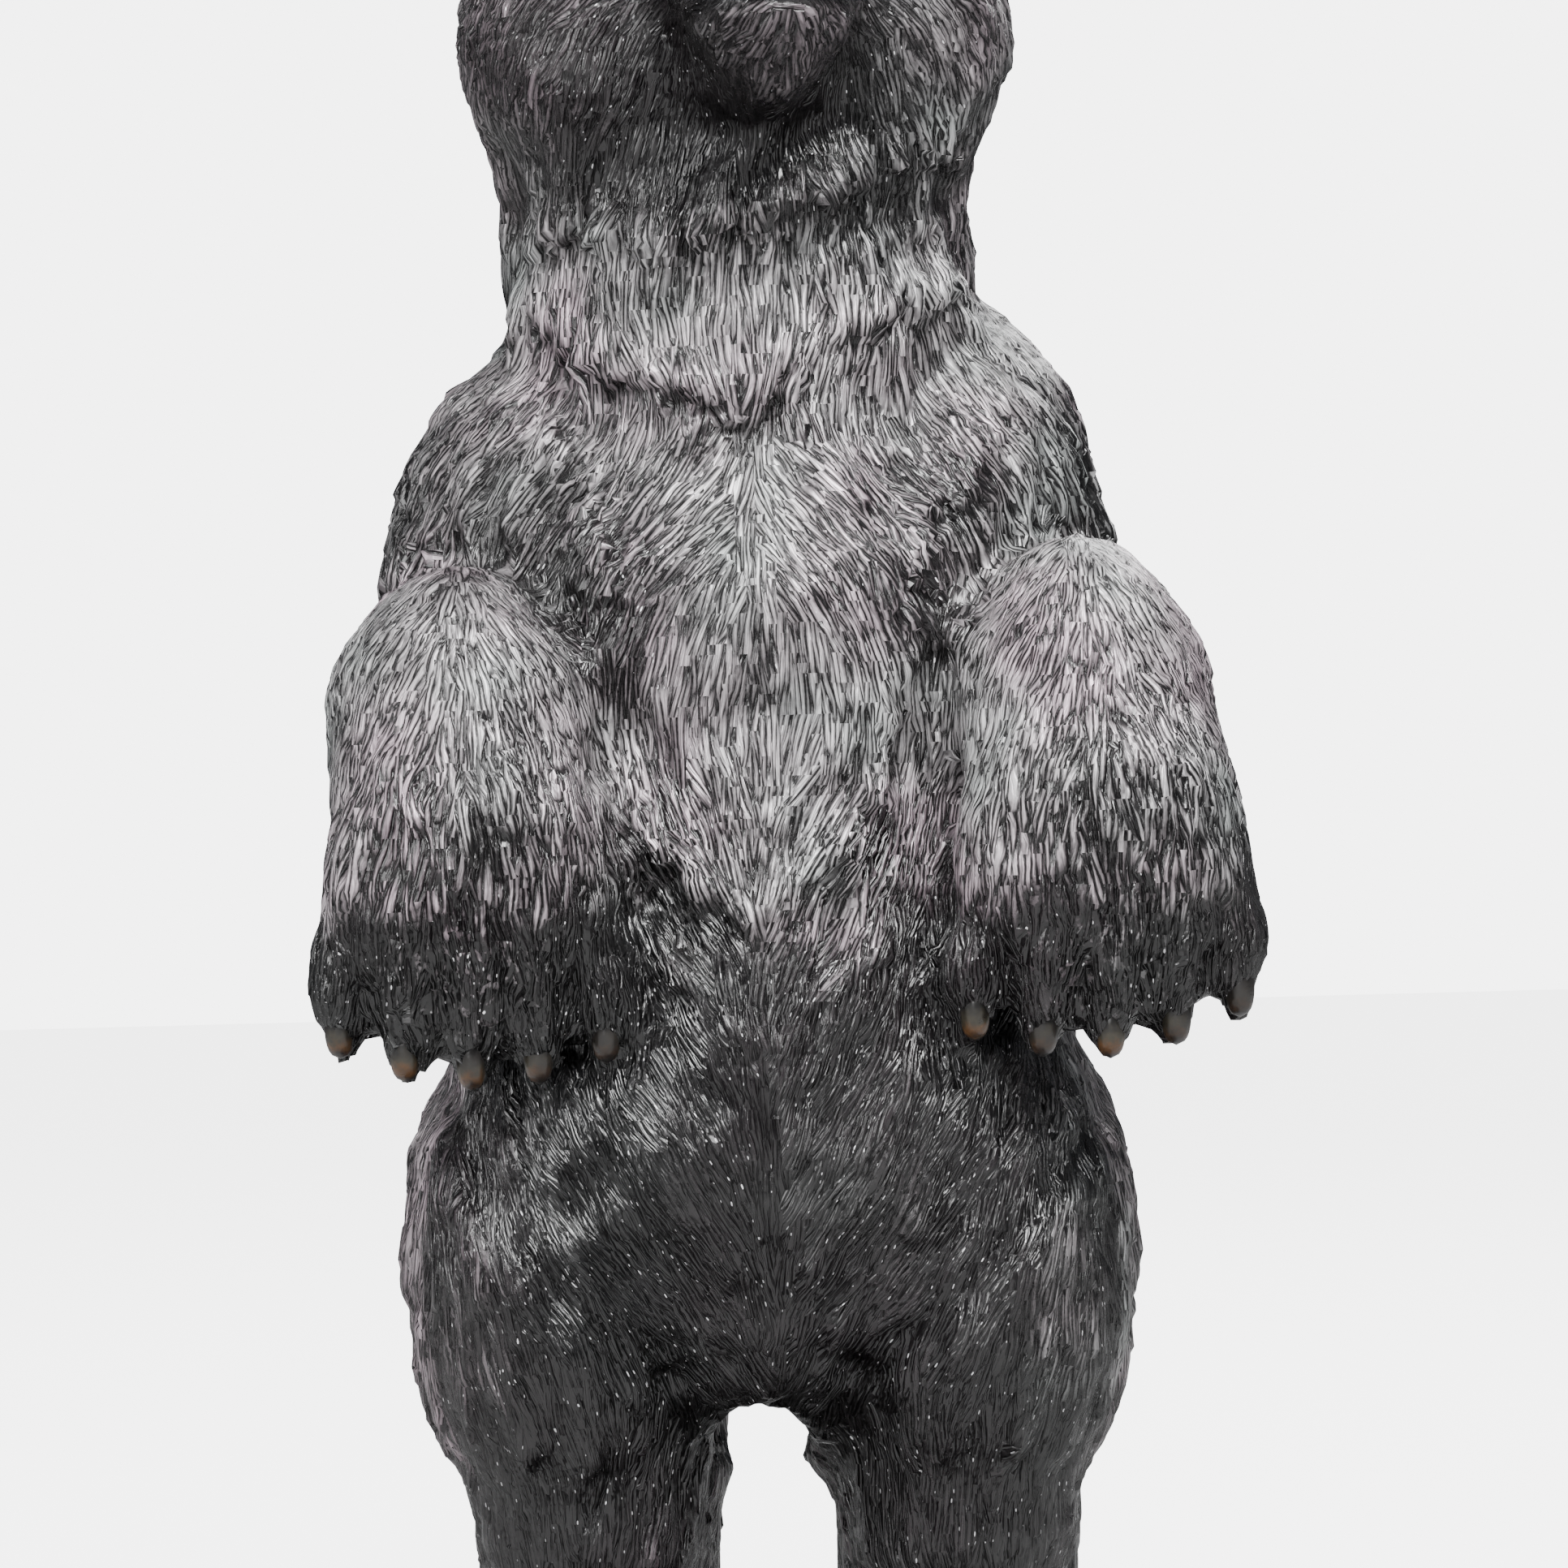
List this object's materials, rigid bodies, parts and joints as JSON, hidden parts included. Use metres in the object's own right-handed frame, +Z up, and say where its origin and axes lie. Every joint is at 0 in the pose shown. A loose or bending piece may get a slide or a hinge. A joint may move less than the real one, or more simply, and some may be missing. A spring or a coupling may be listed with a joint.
{
  "type": "bear statue",
  "caption": "Bear standing upright with its forepaws hanging in front of it, cast in resin with carved fur painted dark pewter and silver, on a low ground base",
  "frame": {"origin": "centre of the flat underside of the base, on the floor", "axes": "+Z up through the head, -Y towards the front that the bear faces, +X towards the bear's left side"},
  "size_m": [0.2466, 0.2244, 0.6018],
  "materials": {
    "statue_resin": "Near-black semi-gloss paint on cast resin, with silver-grey dry-brushed over the raised strands of the fur"
  },
  "bodies": {
    "root": {"bear_statue": "statue_resin"}
  },
  "joints": []
}
